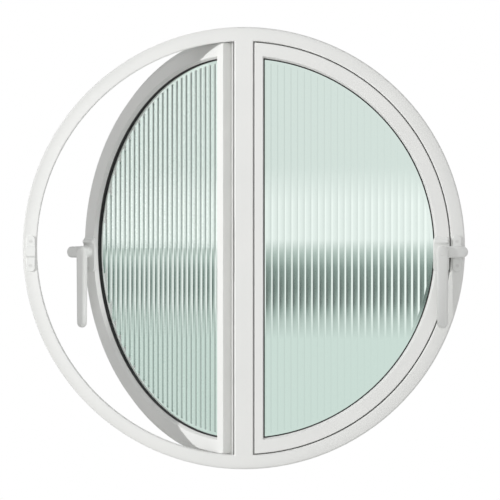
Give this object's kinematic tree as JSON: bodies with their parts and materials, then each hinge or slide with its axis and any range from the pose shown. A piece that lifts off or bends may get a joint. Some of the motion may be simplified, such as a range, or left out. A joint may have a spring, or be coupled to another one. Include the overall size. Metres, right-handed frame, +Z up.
{
  "type": "round window",
  "caption": "round ring-frame window with an upright centre bar, outward-opening half-round leaves of reeded glass on the bar, and cockspur handles with striker plates",
  "frame": {"origin": "centre of the ring, at half its depth", "axes": "+X right as seen from the room, +Y out through the wall, +Z up"},
  "size_m": [0.7549, 0.2876, 0.75],
  "materials": {
    "white_paint": "satin white paint on metal profile",
    "reeded_glass": "clear float glass with a slight green tint, rolled reeds on the room side",
    "black_rubber": "matt black glazing rubber",
    "packer_plastic": "grey moulded packers",
    "handle_paint": "smooth white paint on a casting",
    "hinge_paint": "white paint on steel plate",
    "screw_paint": "white painted screw head",
    "steel": "zinc plated steel"
  },
  "bodies": {
    "frame": {"outer_frame": "white_paint", "centre_mullion": "white_paint", "left_weather_seal": "black_rubber", "left_striker": "handle_paint", "left_striker_screws": "screw_paint", "left_hinge_frame_plate": "hinge_paint", "left_hinge_frame_screws": "steel", "left_hinge_pin": "steel", "right_weather_seal": "black_rubber", "right_striker": "handle_paint", "right_striker_screws": "screw_paint", "right_hinge_frame_plate": "hinge_paint", "right_hinge_frame_screws": "steel", "right_hinge_pin": "steel"},
    "left_leaf": {"left_leaf_stile": "white_paint", "left_leaf_rim": "white_paint", "left_reeded_pane": "reeded_glass", "left_inner_gasket": "black_rubber", "left_outer_gasket": "black_rubber", "left_straight_bead": "white_paint", "left_curved_bead": "white_paint", "left_setting_blocks": "packer_plastic", "left_hinge_leaf_plate": "hinge_paint", "left_hinge_leaf_screws": "steel", "left_handle_base": "handle_paint", "left_handle_screw": "screw_paint", "left_handle_pivot_pin": "steel"},
    "left_handle": {"left_handle_lever": "handle_paint", "left_handle_cap": "handle_paint"},
    "right_leaf": {"right_leaf_stile": "white_paint", "right_leaf_rim": "white_paint", "right_reeded_pane": "reeded_glass", "right_inner_gasket": "black_rubber", "right_outer_gasket": "black_rubber", "right_straight_bead": "white_paint", "right_curved_bead": "white_paint", "right_setting_blocks": "packer_plastic", "right_hinge_leaf_plate": "hinge_paint", "right_hinge_leaf_screws": "steel", "right_handle_base": "handle_paint", "right_handle_screw": "screw_paint", "right_handle_pivot_pin": "steel"},
    "right_handle": {"right_handle_lever": "handle_paint", "right_handle_cap": "handle_paint"}
  },
  "joints": [
    {"name": "left_leaf_swing", "type": "hinge", "parent": "frame", "child": "left_leaf", "pos_m": [-0.016, 0.0035, -0.003], "axis": [0, 0, -1], "range_deg": [-44, 46]},
    {"name": "left_handle_turn", "type": "hinge", "parent": "left_leaf", "child": "left_handle", "pos_m": [-0.26461, 0.20744, -0.0066], "axis": [-0.6947, -0.7193, 0], "range_deg": [0, 90]},
    {"name": "right_leaf_swing", "type": "hinge", "parent": "frame", "child": "right_leaf", "pos_m": [0.016, 0.0035, -0.003], "axis": [0, 0, 1], "range_deg": [0, 90]},
    {"name": "right_handle_turn", "type": "hinge", "parent": "right_leaf", "child": "right_handle", "pos_m": [0.3365, -0.0225, -0.0066], "axis": [0, 1, 0], "range_deg": [0, 90]}
  ]
}
